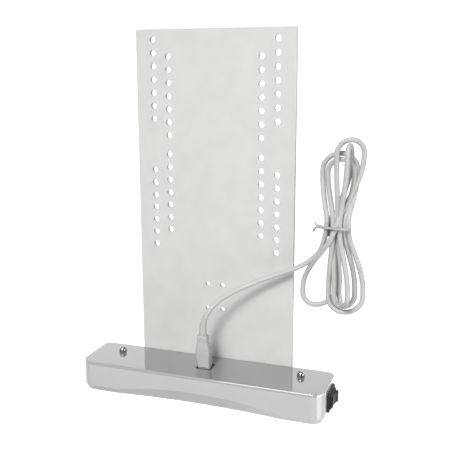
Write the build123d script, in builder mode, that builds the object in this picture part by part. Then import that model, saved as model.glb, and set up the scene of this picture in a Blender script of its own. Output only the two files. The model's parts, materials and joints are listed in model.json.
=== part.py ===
"""Bar-shaped counter unit on a display mounting plate, with a coiled modular lead.

Frame, in mm: the unit lies on its back. X runs along the bar, Y up the plate away from the bar,
Z out of the plate's front. The origin is the centre of the middle hole pattern, on the back face.
"""

from build123d import *
from math import cos, pi, radians, sin, sqrt, tan
import os

os.makedirs("parts", exist_ok=True)

# ------------------------------------------------------------------ driving dimensions
# Mounting plate
PLATE_W = 128
PLATE_T = 3
PLATE_TOP = 88
PLATE_BOTTOM = -191
HOLE_STEP = 10                      # pitch of the height positions
VESA_PITCHES = (100, 75)            # square display patterns, four holes each
VESA_HOLE_R = 2.4
SMALL_PITCH = (12.5, 20)            # small four-hole pattern above the bar
SMALL_Y = -120
SMALL_HOLE_R = 1.9

# Bar
BAR_W = 198
BAR_D = 44.6
BAR_H = 24.2
BAR_TOP = -170.5                    # y of the bar's upper face
BAR_REAR_R = 6
BAR_FRONT_R = 9.5
WALL = 2.4
COVER_T = 2.5
SEAM = 0.18                         # chamfer on both sides of the cover joint
SCOOP_R = 790                       # concave cut along the lower front edge
SCOOP_START = 13.3                  # its height below the upper face at the middle
SCOOP_SLOPE = 4.8 / 10              # how far it goes back per mm down
TAPER_H = 4.4                       # the lowest part of the shell narrows all round
TAPER = 2.1
ARCH_R = 4000                       # slight arch of the lower face
ARCH_RISE = 0.9

# Fasteners
STUD_X = 75.5
STUD_Z = 19
STUD_HEAD_R = 3.1
STUD_SKIRT = 1.7
M3_R = 1.5
INSERT_R = 2.75
INSERT_L = 7
PLATE_SCREW_X = (-45, -15, 15, 45)
PLATE_SCREW_Y = -181.5
M4_R = 2

# Circuit board
BOARD_W = 120
BOARD_D = 27
BOARD_Z = 24.5
BOARD_T = 1.6
STANDOFF_H = 1.6
BOARD_SCREW_GRID = (112, 19)

# Modular jack and plug
PLUG_X = -0.2
PLUG_Z = 25.2
PLUG_W = 9.65
PLUG_T = 6.6
PLUG_L = 14.5
PORT_W = 9.9
PORT_T = 6.9
PORT_DEPTH = 12.8
JACK_TOP = BAR_TOP - 0.5
CUTOUT_W = 12.6
CUTOUT_D = 13.6
CUTOUT_Z = 24.4
CONTACTS = 6
CONTACT_PITCH = 1.02
LATCH_W = 5.6
LATCH_T = 0.7
LATCH_ANGLE = 10.5
LATCH_L = 12.6
LATCH_HINGE = (1.0, 0.55)            # behind the tip, below the plug's face

# Rocker switch in the right-hand end
SWITCH_Y = -182.6
SWITCH_Z = 22.8
BEZEL_L = 21
BEZEL_H = 15
BEZEL_T = 1.6
SWITCH_BODY_L = 18.8
SWITCH_BODY_H = 12.6
SWITCH_DEPTH = 11.5
POCKET_L = 15
POCKET_H = 9.4
RIM_L = 16.6
RIM_H = 10.9
RIM_T = 1.2
ROCKER_L = 13.2
ROCKER_W = 8.8
ROCKER_TILT = 7

# Cord
CORD_D = 3.8
CORD_R = CORD_D / 2
WIRE_R = 0.8
TIE_Y = -54.5
FAR_PLUG_X = 95.2                   # second plug, held under the hank by the tie
FAR_PLUG_REAR = -62
FAR_PLUG_Z = 6.7

# ------------------------------------------------------------------ derived places
BAR_BOTTOM = BAR_TOP - BAR_H
FLOOR_Y = BAR_BOTTOM + ARCH_RISE + WALL
COVER_Y = BAR_TOP - COVER_T
BOARD_BOTTOM = FLOOR_Y + STANDOFF_H
BOARD_TOP = BOARD_BOTTOM + BOARD_T
BAR_Z = (PLATE_T, PLATE_T + BAR_D)
END_X = BAR_W / 2
PLUG_TIP = JACK_TOP - PORT_DEPTH + 0.3
PLUG_REAR = PLUG_TIP + PLUG_L
PIVOT_X = END_X - 2
PIVOT_OUT = END_X + BEZEL_T - PIVOT_X      # from the rocker's pivot to the bezel's face


def level(y):
    """The plane across the bar at height y, facing down the bar, with Z as its own Y."""
    return Plane.XZ.offset(-y)


def save(piece, name):
    piece.part.label = name
    export_step(piece.part, f"parts/{name}.step")


def block(x, y, z, mode=Mode.ADD):
    """An upright block between two x, two y and two z values, added to the open part."""
    centre = [(pair[0] + pair[1]) / 2 for pair in (x, y, z)]
    with Locations(Location(centre)):
        Box(x[1] - x[0], y[1] - y[0], z[1] - z[0], mode=mode)


def rod(x, z, radius, y_low, y_high, mode=Mode.ADD):
    """A round bar along Y at (x, z), added to the open part."""
    with Locations(Location((x, (y_low + y_high) / 2, z), (90, 0, 0))):
        Cylinder(radius, y_high - y_low, mode=mode)


# ------------------------------------------------------------------ mounting plate
with BuildPart() as mounting_plate:
    with BuildSketch():
        with Locations((0, (PLATE_TOP + PLATE_BOTTOM) / 2)):
            Rectangle(PLATE_W, PLATE_TOP - PLATE_BOTTOM)
        for step in range(-3, 4):
            with Locations((0, step * HOLE_STEP)):
                for pitch in VESA_PITCHES:
                    with GridLocations(pitch, pitch, 2, 2):
                        Circle(VESA_HOLE_R, mode=Mode.SUBTRACT)
        with Locations((0, SMALL_Y)):
            with GridLocations(*SMALL_PITCH, 2, 2):
                Circle(SMALL_HOLE_R, mode=Mode.SUBTRACT)
        with Locations(*[(x, PLATE_SCREW_Y) for x in PLATE_SCREW_X]):
            Circle(M4_R + 0.2, mode=Mode.SUBTRACT)
    extrude(amount=PLATE_T)
    with Locations(*[(x, PLATE_SCREW_Y, 1.05) for x in PLATE_SCREW_X]):
        Cone(4.3, 2.2, 2.1, mode=Mode.SUBTRACT)
    # The cut edges are broken all round
    chamfer(mounting_plate.faces().sort_by(Axis.Z)[-1].outer_wire().edges(), 0.3)
save(mounting_plate, "mounting_plate")


# ------------------------------------------------------------------ bar shells
def bar_plan(inset=0.0):
    """The bar's rounded plan outline, `inset` inside its outer face."""
    half = END_X - inset
    rear, front = BAR_Z[0] + inset, BAR_Z[1] - inset
    corners = [(-half, rear), (half, rear), (half, front), (-half, front)]
    rear_r, front_r = BAR_REAR_R - inset, BAR_FRONT_R - inset
    with BuildSketch() as plan:
        with BuildLine():
            FilletPolyline(*corners, radius=[rear_r, rear_r, front_r, front_r], close=True)
        make_face()
    return plan.sketch


def scoop(inset=0.0):
    """What the concave cut along the lower front edge takes away, `inset` further in."""
    reach = END_X + 10
    rise = SCOOP_R - sqrt(SCOOP_R**2 - reach**2) - inset
    origin = (0, BAR_TOP - SCOOP_START, BAR_Z[1])
    with BuildPart() as cutter:
        with BuildSketch(Plane(origin, x_dir=(1, 0, 0), z_dir=(0, -1, -SCOOP_SLOPE))):
            with BuildLine():
                ThreePointArc((-reach, rise), (0, -inset), (reach, rise))
                Polyline((reach, rise), (reach, 25), (-reach, 25), (-reach, rise))
            make_face()
        extrude(amount=30, both=True)
    return cutter.part


def hollow():
    """The space inside the housing, one wall thickness inside its outer shape."""
    with BuildPart() as space:
        with BuildSketch(level(COVER_Y)):
            add(bar_plan(WALL))
        extrude(amount=COVER_Y - FLOOR_Y)
        add(scoop(WALL), mode=Mode.SUBTRACT)
    return space.part


lower_scoop = scoop()
inner_space = hollow()
board_screws_at = [
    (x, BOARD_Z + z) for x in (-BOARD_SCREW_GRID[0] / 2, BOARD_SCREW_GRID[0] / 2)
    for z in (-BOARD_SCREW_GRID[1] / 2, BOARD_SCREW_GRID[1] / 2)
]

with BuildPart() as housing:
    with BuildSketch(level(COVER_Y)):
        add(bar_plan())
    extrude(amount=BAR_H - COVER_T - TAPER_H)
    for y, inset in ((BAR_BOTTOM + TAPER_H, 0), (BAR_BOTTOM, TAPER)):
        with BuildSketch(level(y)):
            add(bar_plan(inset))
    loft(ruled=True)
    fillet(housing.faces().sort_by(Axis.Y)[0].edges(), 0.9)
    chamfer(housing.faces().sort_by(Axis.Y)[-1].edges(), SEAM)
    add(lower_scoop, mode=Mode.SUBTRACT)
    with Locations((0, BAR_BOTTOM + ARCH_RISE - ARCH_R, PLATE_T + BAR_D / 2)):
        Cylinder(ARCH_R, 2 * BAR_D, mode=Mode.SUBTRACT)
    add(inner_space, mode=Mode.SUBTRACT)
    for x in (-STUD_X, STUD_X):
        rod(x, STUD_Z, 4.5, FLOOR_Y - 0.5, COVER_Y)
        rod(x, STUD_Z, INSERT_R, COVER_Y - 10, COVER_Y, Mode.SUBTRACT)
    for x, z in board_screws_at:
        rod(x, z, 3, FLOOR_Y - 0.5, BOARD_BOTTOM)
        rod(x, z, 1.1, FLOOR_Y - 1.2, BOARD_BOTTOM, Mode.SUBTRACT)
    with BuildSketch(Plane.XY.offset(BAR_Z[0] + 1)):
        with Locations(*[(x, PLATE_SCREW_Y) for x in PLATE_SCREW_X]):
            Circle(4.4)
    extrude(amount=9)
    with BuildSketch(Plane.XY.offset(BAR_Z[0])):
        with Locations(*[(x, PLATE_SCREW_Y) for x in PLATE_SCREW_X]):
            Circle(3)
    extrude(amount=9, mode=Mode.SUBTRACT)
    # Opening for the switch body in the right-hand end
    block(
        (END_X - 4, END_X + 1),
        (SWITCH_Y - SWITCH_BODY_H / 2 - 0.1, SWITCH_Y + SWITCH_BODY_H / 2 + 0.1),
        (SWITCH_Z - SWITCH_BODY_L / 2 - 0.1, SWITCH_Z + SWITCH_BODY_L / 2 + 0.1),
        Mode.SUBTRACT,
    )
save(housing, "housing")

with BuildPart() as top_cover:
    with BuildSketch(level(BAR_TOP)):
        add(bar_plan())
    extrude(amount=COVER_T)
    fillet(top_cover.faces().sort_by(Axis.Y)[-1].edges(), 0.9)
    chamfer(top_cover.faces().sort_by(Axis.Y)[0].edges(), SEAM)
    # Locating rib that drops inside the housing wall
    with BuildSketch(level(COVER_Y)):
        add(bar_plan(WALL + 0.2))
        add(bar_plan(WALL + 1.4), mode=Mode.SUBTRACT)
    extrude(amount=1.2)
    block(
        (-CUTOUT_W / 2, CUTOUT_W / 2),
        (COVER_Y - 1, BAR_TOP + 1),
        (CUTOUT_Z - CUTOUT_D / 2, CUTOUT_Z + CUTOUT_D / 2),
        Mode.SUBTRACT,
    )
    for x in (-STUD_X, STUD_X):
        rod(x, STUD_Z, M3_R + 0.15, COVER_Y - 1, BAR_TOP + 1, Mode.SUBTRACT)
save(top_cover, "top_cover")

# ------------------------------------------------------------------ fasteners
# Domed studs that hold the cover: a skirt and a round dome over a machine-screw shank
with BuildPart() as cover_studs:
    for x in (-STUD_X, STUD_X):
        rod(x, STUD_Z, STUD_HEAD_R, BAR_TOP, BAR_TOP + STUD_SKIRT)
        with Locations((x, BAR_TOP + STUD_SKIRT, STUD_Z)):
            Sphere(STUD_HEAD_R)
        rod(x, STUD_Z, STUD_HEAD_R + 1, BAR_TOP - STUD_HEAD_R, BAR_TOP, Mode.SUBTRACT)
        rod(x, STUD_Z, M3_R, COVER_Y - 8, BAR_TOP)
save(cover_studs, "cover_studs")

with BuildPart() as cover_inserts:
    for x in (-STUD_X, STUD_X):
        rod(x, STUD_Z, INSERT_R, COVER_Y - INSERT_L, COVER_Y)
        rod(x, STUD_Z, INSERT_R + 1, COVER_Y - 4, COVER_Y - 3, Mode.SUBTRACT)
        rod(x, STUD_Z, INSERT_R - 0.35, COVER_Y - 4, COVER_Y - 3)
        rod(x, STUD_Z, M3_R + 0.05, COVER_Y - INSERT_L, COVER_Y, Mode.SUBTRACT)
save(cover_inserts, "cover_inserts")

with BuildPart() as plate_screws:
    with BuildSketch(Plane.XY.offset(0.1)):
        with Locations(*[(x, PLATE_SCREW_Y) for x in PLATE_SCREW_X]):
            Circle(M4_R)
    extrude(amount=10.5)
    with Locations(*[(x, PLATE_SCREW_Y, 1.1) for x in PLATE_SCREW_X]):
        Cone(4.0, M4_R, 2.0)
    # Hexagon socket in each head
    with BuildSketch():
        with Locations(*[(x, PLATE_SCREW_Y) for x in PLATE_SCREW_X]):
            RegularPolygon(1.44, 6)
    extrude(amount=1.5, mode=Mode.SUBTRACT)
save(plate_screws, "plate_screws")

with BuildPart() as plate_inserts:
    with BuildSketch(Plane.XY.offset(BAR_Z[0] + 0.1)):
        with Locations(*[(x, PLATE_SCREW_Y) for x in PLATE_SCREW_X]):
            Circle(3)
            Circle(M4_R + 0.05, mode=Mode.SUBTRACT)
    extrude(amount=7.5)
save(plate_inserts, "plate_inserts")

# ------------------------------------------------------------------ circuit board and its parts
JACK_REAR = CUTOUT_Z - CUTOUT_D / 2 - 1.2
JACK_FRONT = CUTOUT_Z + CUTOUT_D / 2 + 0.6
CONTACT_Z = PLUG_Z + PORT_T / 2 + 0.3
contact_xs = [PLUG_X + (i - (CONTACTS - 1) / 2) * CONTACT_PITCH for i in range(CONTACTS)]
HEADER_X = (43, 51)
HEADER_ZS = (18.5, 23.5)

with BuildPart() as circuit_board:
    block(
        (-BOARD_W / 2, BOARD_W / 2),
        (BOARD_BOTTOM, BOARD_TOP),
        (BOARD_Z - BOARD_D / 2, BOARD_Z + BOARD_D / 2),
    )
    fillet(circuit_board.edges().filter_by(Axis.Y), 1)
    for x, z in board_screws_at:
        rod(x, z, 1.4, BOARD_BOTTOM, BOARD_TOP, Mode.SUBTRACT)
    for x in contact_xs:
        rod(x, CONTACT_Z + 0.25, 0.42, BOARD_BOTTOM, BOARD_TOP, Mode.SUBTRACT)
save(circuit_board, "circuit_board")

with BuildPart() as board_screws:
    for x, z in board_screws_at:
        rod(x, z, 2.2, BOARD_TOP, BOARD_TOP + 1.5)
        rod(x, z, 1.1, FLOOR_Y - 1, BOARD_TOP)
    fillet(board_screws.edges().group_by(Axis.Y)[-1], 0.6)
    for x, z in board_screws_at:
        block((x - 1.3, x + 1.3), (BOARD_TOP + 0.8, BOARD_TOP + 2), (z - 0.25, z + 0.25), Mode.SUBTRACT)
        block((x - 0.25, x + 0.25), (BOARD_TOP + 0.8, BOARD_TOP + 2), (z - 1.3, z + 1.3), Mode.SUBTRACT)
save(board_screws, "board_screws")

with BuildPart() as modular_jack:
    block((PLUG_X - 6.6, PLUG_X + 6.6), (BOARD_TOP, COVER_Y - 0.2), (JACK_REAR, JACK_FRONT))
    block((-6.1, 6.1), (COVER_Y - 0.5, JACK_TOP), (CUTOUT_Z - 6.6, CUTOUT_Z + 6.6))
    # Port for the plug, the slot for its latch and the six contact grooves
    port_y = (JACK_TOP - PORT_DEPTH, JACK_TOP + 1)
    block(
        (PLUG_X - PORT_W / 2, PLUG_X + PORT_W / 2),
        port_y,
        (PLUG_Z - PORT_T / 2, PLUG_Z + PORT_T / 2),
        Mode.SUBTRACT,
    )
    block((PLUG_X - 3.2, PLUG_X + 3.2), port_y, (PLUG_Z - 6.8, PLUG_Z), Mode.SUBTRACT)
    for x in contact_xs:
        block((x - 0.32, x + 0.32), (BOARD_TOP, JACK_TOP - 1), (PLUG_Z, CONTACT_Z + 0.6), Mode.SUBTRACT)
save(modular_jack, "modular_jack")

with BuildPart() as jack_contacts:
    for x in contact_xs:
        block((x - 0.2, x + 0.2), (BOARD_BOTTOM - 0.8, JACK_TOP - 1.4), (CONTACT_Z + 0.05, CONTACT_Z + 0.45))
save(jack_contacts, "jack_contacts")

with BuildPart() as control_chips:
    for x, z, w, d in ((22, 26, 10, 10), (36, 20, 6, 5), (-18, 18, 5, 6)):
        block((x - w / 2, x + w / 2), (BOARD_TOP + 0.15, BOARD_TOP + 1.75), (z - d / 2, z + d / 2))
        pins = int(w / 1.27) - 1
        for i in range(pins):
            pin_x = x + (i - (pins - 1) / 2) * 1.27
            block(
                (pin_x - 0.25, pin_x + 0.25),
                (BOARD_TOP, BOARD_TOP + 0.5),
                (z - d / 2 - 0.9, z + d / 2 + 0.9),
            )
save(control_chips, "control_chips")

with BuildPart() as capacitors:
    for x, z, radius, tall in ((-50, 26, 3.15, 7.5), (-43, 32, 2.5, 6), (36, 32, 3.15, 7.5)):
        rod(x, z, radius, BOARD_TOP, BOARD_TOP + tall)
    fillet(capacitors.edges().filter_by(GeomType.CIRCLE).group_by(Axis.Y)[-1], 0.4)
save(capacitors, "capacitors")

with BuildPart() as sounder:
    rod(-33, 25, 6.5, BOARD_TOP, BOARD_TOP + 7)
    fillet(sounder.edges().group_by(Axis.Y)[-1], 0.6)
    rod(-33, 25, 1, BOARD_TOP + 4, BOARD_TOP + 8, Mode.SUBTRACT)
save(sounder, "sounder")

with BuildPart() as wire_header:
    block(HEADER_X, (BOARD_TOP, BOARD_TOP + 8), (HEADER_ZS[0] - 2.5, HEADER_ZS[1] + 2.5))
    for z in HEADER_ZS:
        with Locations(Location((HEADER_X[1], BOARD_TOP + 4, z), (0, 90, 0))):
            Cylinder(1.1, 8, mode=Mode.SUBTRACT)
        rod((HEADER_X[0] + HEADER_X[1]) / 2, z, 1.4, BOARD_TOP + 6, BOARD_TOP + 9, Mode.SUBTRACT)
save(wire_header, "wire_header")

# ------------------------------------------------------------------ rocker switch
with BuildPart() as switch_body:
    block(
        (END_X - SWITCH_DEPTH, END_X + 0.5),
        (SWITCH_Y - SWITCH_BODY_H / 2, SWITCH_Y + SWITCH_BODY_H / 2),
        (SWITCH_Z - SWITCH_BODY_L / 2, SWITCH_Z + SWITCH_BODY_L / 2),
    )
    with BuildSketch(Plane.YZ.offset(END_X)):
        with Locations((SWITCH_Y, SWITCH_Z)):
            RectangleRounded(BEZEL_H, BEZEL_L, 1.2)
    extrude(amount=BEZEL_T)
    chamfer(switch_body.faces().sort_by(Axis.X)[-1].edges(), 0.3)
    with BuildSketch(Plane.YZ.offset(END_X + BEZEL_T - 0.5)):
        with Locations((SWITCH_Y, SWITCH_Z)):
            RectangleRounded(RIM_H, RIM_L, 0.8)
    extrude(amount=RIM_T + 0.5)
    chamfer(switch_body.faces().sort_by(Axis.X)[-1].edges(), 0.25)
    block(
        (END_X - 8.5, END_X + 5),
        (SWITCH_Y - POCKET_H / 2, SWITCH_Y + POCKET_H / 2),
        (SWITCH_Z - POCKET_L / 2, SWITCH_Z + POCKET_L / 2),
        Mode.SUBTRACT,
    )
    rod(PIVOT_X, SWITCH_Z, 1.28, SWITCH_Y - 7, SWITCH_Y + 7, Mode.SUBTRACT)
save(switch_body, "switch_body")


def rocker_outline():
    """Side view of the rocker about its pivot: dished face, flared ends, rounded root."""
    end, crown = ROCKER_L / 2, PIVOT_OUT + 3.1
    dish = PIVOT_OUT + 2.1
    with BuildSketch() as outline:
        with BuildLine():
            ThreePointArc((crown, -end), (dish, 0), (crown, end))
            Polyline((crown, end), (crown - 0.9, end), (-1.0, 5.2), (-3.2, 2.0))
            ThreePointArc((-3.2, 2.0), (-3.8, 0), (-3.2, -2.0))
            Polyline((-3.2, -2.0), (-1.0, -5.2), (crown - 0.9, -end), (crown, -end))
        make_face()
    return outline.sketch


ROCKER_PLANE = Plane(
    (PIVOT_X, SWITCH_Y, SWITCH_Z),
    x_dir=(cos(radians(ROCKER_TILT)), 0, sin(radians(ROCKER_TILT))),
    z_dir=(0, -1, 0),
)
with BuildPart() as rocker:
    with BuildSketch(ROCKER_PLANE):
        add(rocker_outline())
    extrude(amount=ROCKER_W / 2, both=True)
    fillet(rocker.faces().filter_by(GeomType.CYLINDER).sort_by(Axis.X)[-1].edges(), 0.5)
    rod(PIVOT_X, SWITCH_Z, 1.2, SWITCH_Y - SWITCH_BODY_H / 2 + 0.4, SWITCH_Y + SWITCH_BODY_H / 2 - 0.4)
save(rocker, "rocker")

TERMINAL_ZS = (SWITCH_Z - 6.5, SWITCH_Z + 6.5)
TERMINAL_X = (END_X - SWITCH_DEPTH - 5.5, END_X - SWITCH_DEPTH)
with BuildPart() as switch_terminals:
    for z in TERMINAL_ZS:
        block(TERMINAL_X, (SWITCH_Y - 2.4, SWITCH_Y + 2.4), (z - 0.4, z + 0.4))
        with Locations(Location((TERMINAL_X[0] + 2, SWITCH_Y, z))):
            Cylinder(0.7, 3, mode=Mode.SUBTRACT)
save(switch_terminals, "switch_terminals")


# ------------------------------------------------------------------ cords and wires
def corner_radii(points):
    """The radius at each corner of a route: 0.45 of the shorter run over tan(half the turn)."""
    radii = []
    for before, corner, after in zip(points, points[1:], points[2:]):
        arriving, leaving = Vector(*corner) - Vector(*before), Vector(*after) - Vector(*corner)
        turn = radians(arriving.get_angle(leaving))
        radii.append(0.45 * min(arriving.length, leaving.length) / tan(turn / 2))
    return radii


def tube(points, radius):
    """A round tube along straight runs joined by tangent arcs, and its path's length."""
    start = Vector(*points[0])
    with BuildPart() as piece:
        with BuildLine() as path:
            FilletPolyline(*points, radius=corner_radii(points))
        with BuildSketch(Plane(start, z_dir=Vector(*points[1]) - start)):
            Circle(radius)
        sweep()
    return piece, sum(edge.length for edge in path.edges())


HEADER_Y = BOARD_TOP + 4
wire_routes = (
    [
        (TERMINAL_X[1] - 3, SWITCH_Y, TERMINAL_ZS[0] - 0.4 - WIRE_R),
        (81.5, SWITCH_Y - 0.3, 13.2),
        (71, SWITCH_Y - 0.8, 12.4),
        (59, HEADER_Y, HEADER_ZS[0]),
        (HEADER_X[1] - 3, HEADER_Y, HEADER_ZS[0]),
    ],
    [
        (TERMINAL_X[1] - 3, SWITCH_Y, TERMINAL_ZS[1] + 0.4 + WIRE_R),
        (80, SWITCH_Y - 0.2, 30),
        (69, SWITCH_Y - 0.8, 27),
        (59, HEADER_Y, HEADER_ZS[1]),
        (HEADER_X[1] - 3, HEADER_Y, HEADER_ZS[1]),
    ],
)
with BuildPart() as switch_wires:
    for route in wire_routes:
        add(tube(route, WIRE_R)[0].part)
save(switch_wires, "switch_wires")
print("switch wire radii", [[round(r, 1) for r in corner_radii(route)] for route in wire_routes])


# ------------------------------------------------------------------ modular plugs
def placed(piece, where):
    """A copy of a finished piece at another location."""
    with BuildPart() as copy:
        with Locations(where):
            add(piece.part)
    return copy


def make_plug(where):
    """Body, contacts and latch of a six-way modular plug.

    Its own origin is the centre of the tip and +Y runs to the rear. The contacts face +Z and
    the latch hangs on the -Z side, hinged near the tip.
    """
    face = PLUG_T / 2
    xs = [(i - (CONTACTS - 1) / 2) * CONTACT_PITCH for i in range(CONTACTS)]
    with BuildPart() as body:
        block((-PLUG_W / 2, PLUG_W / 2), (0, PLUG_L), (-face, face))
        chamfer(body.edges().filter_by(Axis.Y), 0.4)
        for x in xs:
            block((x - 0.28, x + 0.28), (-1, 6.5), (face - 1.6, face + 1), Mode.SUBTRACT)
        # Pocket where the cord's crimp bar is pressed in
        block((-2.6, 2.6), (8.4, 10.2), (face - 1.1, face + 1), Mode.SUBTRACT)
    with BuildPart() as contacts:
        for x in xs:
            block((x - 0.18, x + 0.18), (0.5, 5.5), (face - 1.6, face - 0.35))
    hinge = (0, LATCH_HINGE[0], -face - LATCH_HINGE[1])
    with BuildPart() as latch:
        with BuildSketch(Plane(hinge, x_dir=(0, 1, 0), z_dir=(1, 0, 0))):
            Circle(0.42)
            with Locations(Rot(0, 0, -LATCH_ANGLE) * Pos(LATCH_L / 2, 0)):
                Rectangle(LATCH_L, LATCH_T)
            with Locations(Rot(0, 0, -LATCH_ANGLE) * Pos(LATCH_L, 0)):
                Circle(LATCH_T / 2)
        extrude(amount=LATCH_W / 2, both=True)
    return [placed(piece, where) for piece in (body, contacts, latch)]


plug_body, plug_contacts, plug_latch = make_plug(Location((PLUG_X, PLUG_TIP, PLUG_Z)))
save(plug_body, "plug_body")
save(plug_contacts, "plug_contacts")
save(plug_latch, "plug_latch")

far_plug_body, far_plug_contacts, far_plug_latch = make_plug(
    Location((FAR_PLUG_X, FAR_PLUG_REAR + PLUG_L, FAR_PLUG_Z), (0, 0, 180))
)
save(far_plug_body, "far_plug_body")
save(far_plug_contacts, "far_plug_contacts")
save(far_plug_latch, "far_plug_latch")

# Moulded boot: (y, width in x, depth in z) of each rounded section, from the plug to the neck
BOOT_SECTIONS = (
    (PLUG_REAR, 8.9, 8.0),
    (-164.0, 9.2, 8.4),
    (-158.5, 10.6, 8.9),
    (-154.5, 8.8, 8.0),
    (-152.0, 7.4, 7.0),
    (-148.6, 7.0, 6.6),
    (-146.5, 5.8, 5.6),
)
BOOT_END = BOOT_SECTIONS[-1][0]
with BuildPart() as plug_boot:
    for y, width, depth in BOOT_SECTIONS:
        with BuildSketch(level(y)):
            with Locations((PLUG_X, PLUG_Z)):
                RectangleRounded(width, depth, 2.4)
    loft(ruled=True)
save(plug_boot, "plug_boot")

# ------------------------------------------------------------------ the free cord
LEAD_ROUTE = [
    (PLUG_X, BOOT_END, PLUG_Z),
    (0.3, -132.8, 25.1),
    (7.0, -119.6, 23.2),
    (20.5, -109.6, 18.6),
    (38.0, -100.6, 13.6),
    (56.0, -93.4, 10.4),
    (71.0, -87.2, 9.2),
    (82.5, -78.5, 10.2),
    (89.2, -68.0, 13.1),
    (92.2, -59.5, 14.8),
]
TAIL_ROUTE = [(96.0, -76.0, 5.2), (FAR_PLUG_X, -68.5, 6.6), (FAR_PLUG_X, FAR_PLUG_REAR, FAR_PLUG_Z)]
for name, route in (("cord_lead", LEAD_ROUTE), ("cord_tail", TAIL_ROUTE)):
    piece, length = tube(route, CORD_R)
    save(piece, name)
    print(name, "radii", [round(r, 1) for r in corner_radii(route)], "length", round(length, 1))
    print(name, "volume over section x length", round(piece.part.volume / (pi * CORD_R**2 * length), 4))

# The hank's outer shape: (y, lowest and highest x, lowest and highest z) along its length
HANK_SECTIONS = (
    (-122, 99, 112, 2, 9),
    (-118, 76, 116.5, 0.4, 10.5),
    (-111, 69.8, 119, 0.3, 16),
    (-98, 69.6, 119, 0.3, 18),
    (-84, 78, 115.8, 1.8, 17.8),
    (-72, 88.4, 111.4, 4.2, 17.4),
    (-63, 89.2, 108.4, 10.1, 17.2),
    (-46, 89.4, 108.4, 10.1, 17.4),
    (-38, 87, 109.8, 3.8, 17.6),
    (-22, 83.5, 113.5, 0.7, 17.4),
    (-8, 84.2, 116.4, 0.4, 16.4),
    (2, 95, 116.6, 0.6, 14.5),
    (10.4, 101, 111.5, 3, 9.8),
)
with BuildPart() as cord_hank:
    for y, x_low, x_high, z_low, z_high in HANK_SECTIONS:
        with BuildSketch(level(y)):
            with Locations(((x_low + x_high) / 2, (z_low + z_high) / 2)):
                Rectangle(x_high - x_low, z_high - z_low)
    loft(ruled=True)
save(cord_hank, "cord_hank")

# Paper-covered wire tie round the hank's waist and the far plug, its ends twisted together
TIE_LOOP = [(88.9, 1.0), (100.6, 1.0), (109.1, 9), (109.1, 17.7), (88.9, 17.7)]
TIE_W = 1.8
TIE_T = 0.6
with BuildPart() as twist_tie:
    with BuildSketch(level(TIE_Y)):
        with BuildLine():
            FilletPolyline(*TIE_LOOP, radius=1, close=True)
        make_face()
        offset(amount=TIE_T)
        offset(amount=-TIE_T, mode=Mode.SUBTRACT)
    extrude(amount=TIE_W / 2, both=True)
    block((83.5, 88.6), (TIE_Y - TIE_W / 2, TIE_Y + TIE_W / 2), (13, 14.4))
save(twist_tie, "twist_tie")
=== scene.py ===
"""Looks of the plate-mounted bar unit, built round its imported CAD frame.

x runs along the bar to its switch, y up the plate and z out of the plate's front. The origin is in
the unit's back face, behind the middle hole pattern. The routes, the boot and the grain are written
in mm, and everything else in metres.
"""

import json
import math

import bpy
from mathutils import Matrix, Vector


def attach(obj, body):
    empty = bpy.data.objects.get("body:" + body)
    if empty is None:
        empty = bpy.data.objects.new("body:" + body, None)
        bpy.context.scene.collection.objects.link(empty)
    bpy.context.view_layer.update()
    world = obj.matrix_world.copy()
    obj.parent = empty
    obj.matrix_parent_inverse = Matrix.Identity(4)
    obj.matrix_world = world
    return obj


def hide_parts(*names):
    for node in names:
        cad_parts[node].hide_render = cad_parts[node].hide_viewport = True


MM = 0.001
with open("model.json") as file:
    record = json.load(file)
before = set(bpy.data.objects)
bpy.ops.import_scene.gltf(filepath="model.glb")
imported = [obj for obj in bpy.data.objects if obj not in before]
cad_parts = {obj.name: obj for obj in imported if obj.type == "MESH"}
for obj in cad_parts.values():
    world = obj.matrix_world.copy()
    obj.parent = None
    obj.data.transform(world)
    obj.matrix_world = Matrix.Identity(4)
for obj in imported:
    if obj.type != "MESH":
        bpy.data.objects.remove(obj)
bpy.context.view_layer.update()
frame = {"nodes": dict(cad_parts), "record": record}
nodes = frame["nodes"]

# ------------------------------------------------------------------ camera
CAMERA_AT = (0.2018, 0.0612, 0.5342)
CAMERA_YAW, CAMERA_PITCH, CAMERA_ROLL = (math.radians(a) for a in (19.975, 12.176, 0.188))
CAMERA_LENS = 59.42


def make_camera():
    """The photograph's view: from above the plate's right side, looking down at the unit."""
    forward = Vector((
        -math.sin(CAMERA_YAW) * math.cos(CAMERA_PITCH),
        -math.sin(CAMERA_PITCH),
        -math.cos(CAMERA_YAW) * math.cos(CAMERA_PITCH),
    ))
    right = Vector((math.cos(CAMERA_YAW), 0, -math.sin(CAMERA_YAW)))
    up = right.cross(forward)
    turned = Matrix((right, up, -forward)).transposed() @ Matrix.Rotation(-CAMERA_ROLL, 3, "Z")
    data = bpy.data.cameras.new("camera")
    data.lens = CAMERA_LENS
    data.sensor_width = 36
    data.clip_start = 0.01
    data.clip_end = 20
    camera = bpy.data.objects.new("camera", data)
    camera.matrix_world = Matrix.Translation(CAMERA_AT) @ turned.to_4x4()
    bpy.context.scene.collection.objects.link(camera)
    bpy.context.scene.camera = camera


make_camera()

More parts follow.
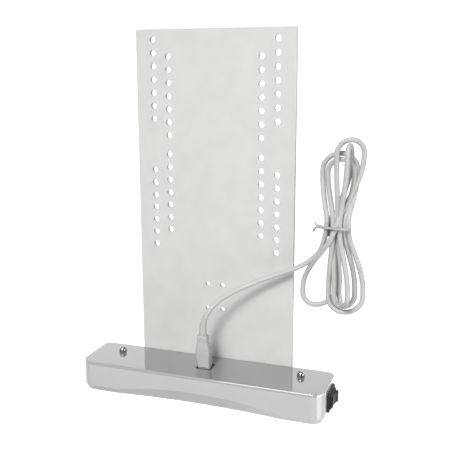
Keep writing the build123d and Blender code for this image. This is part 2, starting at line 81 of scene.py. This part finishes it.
# ------------------------------------------------------------------ materials
# Per slot: colour, how strong its soft mottle is, roughness and its spread, metallic, coat,
# grain size in mm, grain relief in mm
FINISHES = {
    "plate_paint": ((0.585, 0.585, 0.572), 0.05, 0.42, 0.10, 0.0, 0.0, 0.55, 0.012),
    "bar_shell": ((0.50, 0.496, 0.494), 0.03, 0.20, 0.06, 0.0, 0.9, 0.9, 0.003),
    "cover_gloss": ((0.285, 0.285, 0.28), 0.03, 0.09, 0.03, 0.38, 1.0, 0.9, 0.002),
    "stud_chrome": ((0.40, 0.395, 0.39), 0.05, 0.14, 0.04, 1.0, 0.0, 0.4, 0.001),
    "screw_steel": ((0.52, 0.52, 0.50), 0.12, 0.32, 0.12, 1.0, 0.0, 0.3, 0.004),
    "insert_brass": ((0.70, 0.50, 0.22), 0.12, 0.30, 0.10, 1.0, 0.0, 0.3, 0.004),
    "board_green": ((0.03, 0.16, 0.07), 0.20, 0.35, 0.10, 0.0, 0.2, 0.5, 0.006),
    "jack_black": ((0.010, 0.010, 0.010), 0.15, 0.75, 0.10, 0.0, 0.0, 0.3, 0.006),
    "contact_gold": ((0.85, 0.60, 0.25), 0.06, 0.20, 0.08, 1.0, 0.0, 0.2, 0.002),
    "chip_black": ((0.022, 0.022, 0.023), 0.15, 0.55, 0.10, 0.0, 0.0, 0.2, 0.008),
    "capacitor_can": ((0.62, 0.62, 0.63), 0.08, 0.28, 0.10, 1.0, 0.0, 0.3, 0.003),
    "header_green": ((0.05, 0.30, 0.10), 0.10, 0.45, 0.10, 0.0, 0.0, 0.3, 0.006),
    "switch_black": ((0.024, 0.024, 0.025), 0.15, 0.42, 0.12, 0.0, 0.0, 0.35, 0.012),
    "rocker_black": ((0.014, 0.014, 0.015), 0.12, 0.38, 0.08, 0.0, 0.0, 0.4, 0.006),
    "terminal_tin": ((0.60, 0.60, 0.58), 0.10, 0.30, 0.10, 1.0, 0.0, 0.3, 0.004),
    "wire_black": ((0.020, 0.020, 0.020), 0.10, 0.40, 0.10, 0.0, 0.0, 0.5, 0.010),
    "plug_grey": ((0.46, 0.46, 0.45), 0.05, 0.16, 0.06, 0.0, 0.4, 0.6, 0.004),
    "boot_grey": ((0.455, 0.455, 0.445), 0.06, 0.42, 0.10, 0.0, 0.0, 0.45, 0.012),
    "cord_grey": ((0.51, 0.51, 0.50), 0.06, 0.42, 0.10, 0.0, 0.0, 1.2, 0.010),
    "tie_white": ((0.50, 0.50, 0.48), 0.20, 0.60, 0.12, 0.0, 0.0, 0.25, 0.030),
}

CLOUD_SCALE = 55                    # the mottle's patches are about 18 mm across
COAT_ROUGHNESS = 0.08
SPECULAR_LEVELS = {                 # where it isn't 0.5
    "cord_grey": 0.2, "boot_grey": 0.25, "tie_white": 0.2, "switch_black": 0.2, "rocker_black": 0.12,
}
# Painted highlight: the pale colour painted on the cover's rounded edge, in place of the light that the
# edge catches
RIM_HIGHLIGHT_COLOUR = (0.56, 0.555, 0.55)
RIM_HIGHLIGHT_NORMALS = (0.4, 0.9)            # y of the normal: all rim below the first, all face above the second
# A Mix node's sockets: the factor, the two numbers and the two colours that go in, and the results
MIX_FACTOR, MIX_VALUES, MIX_COLOURS = 0, (2, 3), (6, 7)
MIXED_VALUE, MIXED_COLOUR = 0, 2


def linked(tree, kind, inputs=None, **settings):
    """A new shader node with some sockets set or linked."""
    node = tree.nodes.new(kind)
    for name, value in settings.items():
        setattr(node, name, value)
    for socket, value in (inputs or {}).items():
        if isinstance(value, bpy.types.NodeSocket):
            tree.links.new(value, node.inputs[socket])
        else:
            node.inputs[socket].default_value = value
    return node


def mixed_colour(tree, factor, first, second):
    """The colour between two colours, each one plain or a socket."""
    a, b = MIX_COLOURS
    mix = linked(tree, "ShaderNodeMix", {MIX_FACTOR: factor, a: first, b: second}, data_type="RGBA")
    return mix.outputs[MIXED_COLOUR]


def mixed_value(tree, factor, first, second):
    """The number between two numbers, each one plain or a socket."""
    a, b = MIX_VALUES
    mix = linked(tree, "ShaderNodeMix", {MIX_FACTOR: factor, a: first, b: second}, data_type="FLOAT")
    return mix.outputs[MIXED_VALUE]


def make_material(name):
    """Paint, plastic or metal: a soft mottle, uneven gloss and a fine grain in real size."""
    colour, mottle, roughness, spread, metallic, coat, grain, relief = FINISHES[name]
    material = bpy.data.materials.new(name)
    material.use_nodes = True
    tree = material.node_tree
    shader = tree.nodes["Principled BSDF"]
    shader.inputs["Metallic"].default_value = metallic
    shader.inputs["Coat Weight"].default_value = coat
    shader.inputs["Coat Roughness"].default_value = COAT_ROUGHNESS
    shader.inputs["Specular IOR Level"].default_value = SPECULAR_LEVELS.get(name, 0.5)
    place = tree.nodes.new("ShaderNodeTexCoord").outputs["Object"]
    clouds = linked(
        tree, "ShaderNodeTexNoise",
        {"Vector": place, "Scale": CLOUD_SCALE, "Detail": 4, "Roughness": 0.6},
    )
    dark = tuple(c * (1 - 2 * mottle) for c in colour)
    pale = tuple(min(1, c * (1 + mottle)) for c in colour)
    shade = mixed_colour(tree, clouds.outputs["Fac"], (*dark, 1), (*pale, 1))
    tree.links.new(shade, shader.inputs["Base Color"])
    fine = linked(
        tree, "ShaderNodeTexNoise",
        {"Vector": place, "Scale": 1 / (grain * MM), "Detail": 3, "Roughness": 0.55},
    )
    gloss = linked(
        tree, "ShaderNodeMapRange",
        {"Value": fine.outputs["Fac"], "To Min": roughness - spread / 2, "To Max": roughness + spread / 2},
    )
    tree.links.new(gloss.outputs["Result"], shader.inputs["Roughness"])
    bump = linked(tree, "ShaderNodeBump", {"Height": fine.outputs["Fac"], "Distance": relief * MM})
    tree.links.new(bump.outputs["Normal"], shader.inputs["Normal"])
    return material


def paint_rim_highlight(material, colour):
    """Painted highlight: the cover's rounded edge, where its normal turns away from y, is painted as pale
    as the housing in place of the light it catches; only its face keeps the darker gloss.
    """
    tree = material.node_tree
    tint = tree.nodes["Principled BSDF"].inputs["Base Color"]
    face = tint.links[0].from_socket
    normal = tree.nodes.new("ShaderNodeTexCoord").outputs["Normal"]
    facing_up = linked(tree, "ShaderNodeSeparateXYZ", {0: normal}).outputs["Y"]
    low, high = RIM_HIGHLIGHT_NORMALS
    flat = linked(tree, "ShaderNodeMapRange", {"Value": facing_up, "From Min": low, "From Max": high})
    tree.links.new(mixed_colour(tree, flat.outputs["Result"], (*colour, 1), face), tint)


materials = {name: make_material(name) for name in FINISHES}
# Painted highlight on the cover's rounded edge, chosen by the way its surface faces
paint_rim_highlight(materials["cover_gloss"], RIM_HIGHLIGHT_COLOUR)


def dress(piece, body, slot):
    """Puts a piece on its body with its slot's material."""
    piece.data.materials.append(materials[slot])
    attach(piece, body)


# ------------------------------------------------------------------ the cord's route, in mm
CORD_D = 3.8 * MM
TIE_Y = -54.5
LEAD = [
    (-1.9, -144.2, 25.2), (-1.5, -132.4, 25.1), (6.6, -119.0, 23.2), (20.6, -109.2, 18.6),
    (38.0, -100.6, 13.6), (56.0, -93.4, 10.4), (71.0, -87.2, 9.2), (82.5, -78.5, 10.2),
    (89.2, -68.0, 13.1),
]
# Half turns of the hank: which way they go, x of the strand that comes and of the one that goes,
# y of the fold, its slant, z of the strand that comes, of the fold and of the strand that goes,
# and on which of the two the cord drops from the tie to the floor early
HALF_TURNS = (
    (+1, 84.8, 110.4, -1.5, 0.4, 2.4, 2.2, 2.4, False, False),
    (-1, 117.4, 92.8, -120.2, 0.0, 3.0, 5.0, 9.9, True, False),
    (+1, 88.8, 108.8, -5.4, 0.6, 2.6, 6.0, 6.2, True, False),
    (-1, 111.2, 97.4, -115.6, 0.0, 2.2, 6.4, 11.6, True, False),
    (+1, 105.8, 105.8, 5.0, 0.0, 2.6, 10.8, 19.4, False, False),
    (-1, 108.4, 99.4, -114.2, 0.0, 16.8, 9.4, 2.2, False, False),
    (+1, 96.4, 114.8, 8.8, 0.4, 9.8, 7.0, 3.0, False, True),
    (-1, 71.6, 99.6, -116.8, 5.0, 2.6, 2.2, 2.4, False, True),
)
# Where each strand passes through the tie, (x, z)
WAIST = [
    (92.8, 15.3), (105.8, 12.0), (96.6, 15.3), (102.7, 12.0),
    (95.9, 12.0), (100.4, 15.3), (99.3, 12.0), (98.6, 18.3),
]
TAIL = [(98.0, -84.0, 3.6), (96.0, -76.0, 5.2), (95.2, -68.5, 6.7), (95.2, -62.0, 6.7)]
# A leg's shape from the tie to the fold: share of its y run, share of its x shift, and of its drop
LEG = ((0.14, 0.10), (0.34, 0.38), (0.55, 0.70), (0.76, 0.93))
LATE_DROP = (0.0, 0.22, 0.60, 0.92)
EARLY_DROP = (0.12, 0.50, 0.84, 1.0)
# A fold's points are corners of an octagon round its half circle
FOLD_ANGLES = [math.radians(a) for a in (202.5, 157.5, 112.5, 67.5, 22.5, -22.5)]
CORNER_COS = math.cos(math.radians(22.5))


def leg(waist, x, y, z, early):
    """A strand's points from the tie to where its fold starts."""
    drops = EARLY_DROP if early else LATE_DROP
    return [
        (
            waist[0] + shift * (x - waist[0]),
            TIE_Y + along * (y - TIE_Y),
            waist[1] + drop * (z - waist[1]),
        )
        for (along, shift), drop in zip(LEG, drops)
    ]


def half_turn(
    side, x_in, x_out, fold_y, slant, z_in, z_fold, z_out, early_in, early_out, waist, leaving
):
    """Out from the tie, round the fold, and back to the tie unless `leaving` is None."""
    radius = math.hypot(x_out - x_in, z_out - z_in) / 2
    middle = (x_in + x_out) / 2
    centre_y = fold_y - side * radius

    def slanted(x, y):
        return y + slant * (x - middle) / radius

    points = leg(waist, x_in, slanted(x_in, centre_y), z_in, early_in)
    for angle in FOLD_ANGLES:
        across = math.cos(angle) / CORNER_COS
        x = middle + across * (x_out - middle)
        y = centre_y + side * radius * math.sin(angle) / CORNER_COS
        z = z_fold + abs(across) * ((z_in if across < 0 else z_out) - z_fold)
        points.append((x, slanted(x, y), z))
    if leaving:
        points += reversed(leg(leaving, x_out, slanted(x_out, centre_y), z_out, early_out))
    return points


def cord_route():
    """The whole cord's control points, from the boot to the far plug."""
    points = list(LEAD)
    for turn, waist, leaving in zip(HALF_TURNS, WAIST, WAIST[1:] + [None]):
        points += half_turn(*turn, waist, leaving)
    return points + TAIL


def nurbs(name, route, radius, order=3, cyclic=False, extrude=0.0):
    """A smooth round or flattened strand along control points given in mm."""
    curve = bpy.data.curves.new(name, "CURVE")
    curve.dimensions = "3D"
    spline = curve.splines.new("NURBS")
    spline.points.add(len(route) - 1)
    for point, place in zip(spline.points, route):
        point.co = (*(c * MM for c in place), 1)
    spline.order_u = order
    spline.use_endpoint_u = not cyclic
    spline.use_cyclic_u = cyclic
    spline.resolution_u = 10
    curve.bevel_depth = radius
    curve.extrude = extrude
    curve.bevel_resolution = 5
    curve.use_fill_caps = True
    piece = bpy.data.objects.new(name, curve)
    bpy.context.scene.collection.objects.link(piece)
    return piece


cord = nurbs("cord", cord_route(), CORD_D / 2)
dress(cord, "lead", "cord_grey")
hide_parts("cord_lead", "cord_hank", "cord_tail")

# ------------------------------------------------------------------ the tie round the waist
# Round the strands and the far plug, then its two ends twisted together at the left
TIE_LOOP = (
    (90.2, TIE_Y, 15.0), (90.8, TIE_Y + 0.4, 17.9), (95.2, TIE_Y + 0.9, 19.2),
    (98.5, TIE_Y + 1.0, 21.6), (102.6, TIE_Y + 0.6, 18.8), (106.8, TIE_Y, 16.9),
    (108.2, TIE_Y - 0.3, 12.4), (106.8, TIE_Y - 0.2, 9.5), (101.4, TIE_Y, 3.4),
    (99.6, TIE_Y, 2.3), (91.2, TIE_Y, 2.3), (89.7, TIE_Y, 4.4), (89.9, TIE_Y, 10.0),
)
TIE_EDGE_R, TIE_HALF_WIDTH = 0.45, 0.75
TWIST_START = (90.2, TIE_Y - 0.3, 14.4)
TWIST_END = (84.6, TIE_Y + 0.3, 13.2)
TWIST_TURNS = 2.5
TWIST_R = 0.7                       # each end's own radius, and its distance from the twist's middle
TWIST_STEPS = 8                     # points a turn
TIE_ENDS = (
    ((83.4, TIE_Y + 1.6, 13.2), (81.9, TIE_Y + 3.0, 12.8)),
    ((83.2, TIE_Y - 1.0, 12.8), (81.2, TIE_Y - 2.4, 11.0), (80.6, TIE_Y - 4.4, 9.2)),
)


def twisted_end(name, side, free):
    """One of the tie's two ends: a helix from the loop outwards, then its free tip."""
    start, end = Vector(TWIST_START), Vector(TWIST_END)
    steps = int(TWIST_STEPS * TWIST_TURNS)
    route = []
    for i in range(steps + 1):
        angle = 2 * math.pi * TWIST_TURNS * i / steps
        around = Vector((0, math.cos(angle), math.sin(angle))) * TWIST_R * side
        route.append(tuple(start.lerp(end, i / steps) + around))
    return nurbs(name, route + list(free), TWIST_R * MM)


tie_loop = nurbs("tie_loop", TIE_LOOP, TIE_EDGE_R * MM, cyclic=True, extrude=TIE_HALF_WIDTH * MM)
tie_ends = [
    twisted_end("tie_end_1", 1, TIE_ENDS[0]),
    twisted_end("tie_end_2", -1, TIE_ENDS[1]),
]
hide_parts("twist_tie")
for piece in (tie_loop, *tie_ends):
    dress(piece, "lead", "tie_white")

# ------------------------------------------------------------------ the plug's moulded boot
BOOT_SIDES = 40
# y, middle in x and in z, width in x, depth in z, and how square its corners are; the first rings
# stay clear of the latch
BOOT_RINGS = (
    (-170.2, -0.5, 25.8, 9.5, 6.4, 9.0), (-169.9, -0.5, 25.8, 9.9, 7.0, 9.0),
    (-169.2, -0.5, 25.7, 9.9, 7.2, 9.0), (-168.6, -0.5, 25.2, 10.0, 8.2, 9.0),
    (-166.6, -0.6, 25.2, 10.1, 8.3, 9.0),
    (-163.5, -0.9, 25.2, 10.7, 8.6, 8.5), (-160.5, -1.1, 25.2, 11.6, 8.9, 8.0),
    (-158.5, -1.2, 25.2, 11.8, 9.0, 7.5), (-156.4, -1.4, 25.2, 11.5, 8.8, 7.0),
    (-153.6, -1.6, 25.2, 10.4, 8.3, 6.0), (-151.2, -1.7, 25.2, 9.5, 7.9, 5.5),
    (-150.2, -1.8, 25.2, 8.5, 7.4, 5.0), (-149.7, -1.8, 25.2, 8.4, 7.3, 5.0),
    (-149.2, -1.8, 25.2, 8.9, 7.8, 5.0), (-145.4, -1.9, 25.2, 8.6, 7.5, 5.0),
    (-144.6, -1.9, 25.2, 7.9, 6.9, 4.0), (-144.4, -1.9, 25.2, 6.6, 6.0, 3.0),
    (-144.4, -1.9, 25.2, 4.6, 4.6, 2.0),
)


def ring_point(angle, width, depth, squareness):
    """A point on a rounded square outline, between an ellipse and a rectangle."""
    c, s = math.cos(angle), math.sin(angle)
    stretch = (abs(c) ** squareness + abs(s) ** squareness) ** (-1 / squareness)
    return c * stretch * width / 2, s * stretch * depth / 2


def make_boot():
    """Rings lofted from the plug to the neck: a boxy grip that narrows to a plain collar."""
    verts, faces = [], []
    for y, middle_x, middle_z, width, depth, squareness in BOOT_RINGS:
        for i in range(BOOT_SIDES):
            x, z = ring_point(2 * math.pi * (i + 0.5) / BOOT_SIDES, width, depth, squareness)
            verts.append(((middle_x + x) * MM, y * MM, (middle_z + z) * MM))
    last = (len(BOOT_RINGS) - 1) * BOOT_SIDES
    for a in range(0, last, BOOT_SIDES):
        b = a + BOOT_SIDES
        for i in range(BOOT_SIDES):
            j = (i + 1) % BOOT_SIDES
            faces.append((a + i, b + i, b + j, a + j))
    faces.append(tuple(range(BOOT_SIDES)))
    faces.append(tuple(reversed(range(last, last + BOOT_SIDES))))
    mesh = bpy.data.meshes.new("boot")
    mesh.from_pydata(verts, [], faces)
    mesh.polygons.foreach_set("use_smooth", [True] * len(mesh.polygons))
    boot = bpy.data.objects.new("boot", mesh)
    bpy.context.scene.collection.objects.link(boot)
    smooth = boot.modifiers.new("smooth", "SUBSURF")
    smooth.levels = smooth.render_levels = 1
    return boot


boot = make_boot()
dress(boot, "lead", "boot_grey")
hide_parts("plug_boot")

# The boot's soft sleeve, which thins out along the cord
SLEEVE_ROUTE = [LEAD[0], (-1.9, -139.6, 25.2), (-1.5, -134.6, 25.0), (0.3, -129.8, 24.7)]
SLEEVE_RADII = (2.9, 2.75, 2.4, 2.0)
sleeve = nurbs("boot_sleeve", SLEEVE_ROUTE, MM)
for point, radius in zip(sleeve.data.splines[0].points, SLEEVE_RADII):
    point.radius = radius
dress(sleeve, "lead", "boot_grey")

# ------------------------------------------------------------------ finishes on the frame's own pieces
slot_of = {part["node"]: part["material_slot"] for part in frame["record"]["subparts"]}
slot_of["top_cover"] = "cover_gloss"  # the glossier part of the shell's slot
for name, node in nodes.items():
    node.data.materials.clear()
    node.data.materials.append(materials[slot_of[name]])


# ------------------------------------------------------------------ floor and light
AIM = (0, -0.08, 0)                 # between the plate's middle and the bar
LAMP_AWAY = 1.4
KEY_TOWARDS = (-0.06, 0.88, 1.0)
FLOOR_HALF, FLOOR_DROP = 4.0, 0.0001
FLOOR_COLOUR = (0.12, 0.12, 0.12, 1)
FLOOR_SEEN, FLOOR_FILL = 1.2, 0.1   # the floor's own glow in sight, and towards the object


def make_floor():
    """A plain white floor that glows a little, so that it stays white in the picture."""
    mesh = bpy.data.meshes.new("floor")
    corners = [(FLOOR_HALF * x, FLOOR_HALF * y, 0) for x, y in ((-1, -1), (1, -1), (1, 1), (-1, 1))]
    mesh.from_pydata(corners, [], [(0, 1, 2, 3)])
    floor = bpy.data.objects.new("floor", mesh)
    floor.location.z = -FLOOR_DROP
    bpy.context.scene.collection.objects.link(floor)
    material = bpy.data.materials.new("floor_white")
    material.use_nodes = True
    shader = material.node_tree.nodes["Principled BSDF"]
    shader.inputs["Base Color"].default_value = FLOOR_COLOUR
    shader.inputs["Roughness"].default_value = 0.9
    shader.inputs["Specular IOR Level"].default_value = 0.0
    shader.inputs["Emission Color"].default_value = (1, 1, 1, 1)
    bounced = material.node_tree.nodes.new("ShaderNodeLightPath").outputs["Is Diffuse Ray"]
    glow = linked(
        material.node_tree, "ShaderNodeMapRange",
        {"Value": bounced, "To Min": FLOOR_SEEN, "To Max": FLOOR_FILL},
    )
    material.node_tree.links.new(glow.outputs["Result"], shader.inputs["Emission Strength"])
    mesh.materials.append(material)


def hang_lamp(data, aim, direction, distance):
    """Puts a lamp at a distance from what it is aimed at, in a direction."""
    lamp = bpy.data.objects.new(data.name, data)
    towards = Vector(direction).normalized()
    lamp.location = Vector(aim) + towards * distance
    lamp.rotation_euler = towards.to_track_quat("Z", "Y").to_euler()
    bpy.context.scene.collection.objects.link(lamp)


SOFT_BOXES = (  # name, direction, distance, side and power in watts
    ("key_light", KEY_TOWARDS, LAMP_AWAY, 0.8, 9.5),
    ("overhead", (-0.10, 0.10, 1.0), LAMP_AWAY, 0.7, 2.5),
    ("right_fill", (1.3, -0.3, 0.35), 1.3, 1.0, 10),
    ("front_fill", (0.15, -1.1, 0.45), 1.3, 1.2, 4),
)


def soft_light(name, direction, distance, side, power):
    """A square soft box that shines at the unit."""
    data = bpy.data.lights.new(name, "AREA")
    data.shape = "SQUARE"
    data.size = side
    data.energy = power
    hang_lamp(data, AIM, direction, distance)


POOL_AT = (0, -0.165, 0)            # where the plate meets the bar
POOL_POWER, POOL_CONE, POOL_SOFTNESS = 120, math.radians(20), 0.3


def soft_pool():
    """A soft pool of light on the plate's lower end, from the key light's side."""
    data = bpy.data.lights.new("soft_pool", "SPOT")
    data.energy = POOL_POWER
    data.spot_size = POOL_CONE
    data.spot_blend = 1.0
    data.shadow_soft_size = POOL_SOFTNESS
    hang_lamp(data, POOL_AT, KEY_TOWARDS, LAMP_AWAY)


# Light of the tent's top and of its foot, of the foot as glossy surfaces mirror it, of the gap, and
# of the backdrop that the camera sees
SKY_TOP, SKY_LOW, SKY_SHINE, SKY_HOLE, BACKDROP = 0.28, 0.06, 0.40, 0.04, 1.0
HOLE_TOWARDS = (0.334, 0.211, 0.919)
HOLE_EDGES = (19, 13)               # degrees from its middle, where it starts and where it is full
TENT_FULL_HEIGHT = 0.6


def make_sky():
    """A soft tent, darker low down, with a dark gap behind the camera, and a white backdrop in sight."""
    world = bpy.data.worlds.new("studio")
    bpy.context.scene.world = world
    world.use_nodes = True
    tree = world.node_tree
    towards = tree.nodes.new("ShaderNodeTexCoord").outputs["Generated"]
    height = linked(tree, "ShaderNodeSeparateXYZ", {0: towards}).outputs["Z"]
    ray = tree.nodes.new("ShaderNodeLightPath").outputs
    low = mixed_value(tree, ray["Is Glossy Ray"], SKY_LOW, SKY_SHINE)
    tent = linked(
        tree, "ShaderNodeMapRange",
        {"Value": height, "From Max": TENT_FULL_HEIGHT, "To Min": low, "To Max": SKY_TOP},
    ).outputs["Result"]
    facing = linked(tree, "ShaderNodeVectorMath", {0: towards, 1: HOLE_TOWARDS}, operation="DOT_PRODUCT")
    outer, inner = (math.cos(math.radians(angle)) for angle in HOLE_EDGES)
    gap = linked(
        tree, "ShaderNodeMapRange",
        {"Value": facing.outputs["Value"], "From Min": outer, "From Max": inner},
    ).outputs["Result"]
    level = mixed_value(tree, gap, tent, SKY_HOLE)
    backdrop = mixed_value(tree, ray["Is Camera Ray"], level, BACKDROP)
    background = tree.nodes["Background"]
    background.inputs["Color"].default_value = (1, 1, 0.985, 1)
    tree.links.new(backdrop, background.inputs["Strength"])


make_floor()
for soft_box in SOFT_BOXES:
    soft_light(*soft_box)
soft_pool()
make_sky()
bpy.context.scene.view_settings.view_transform = "Standard"
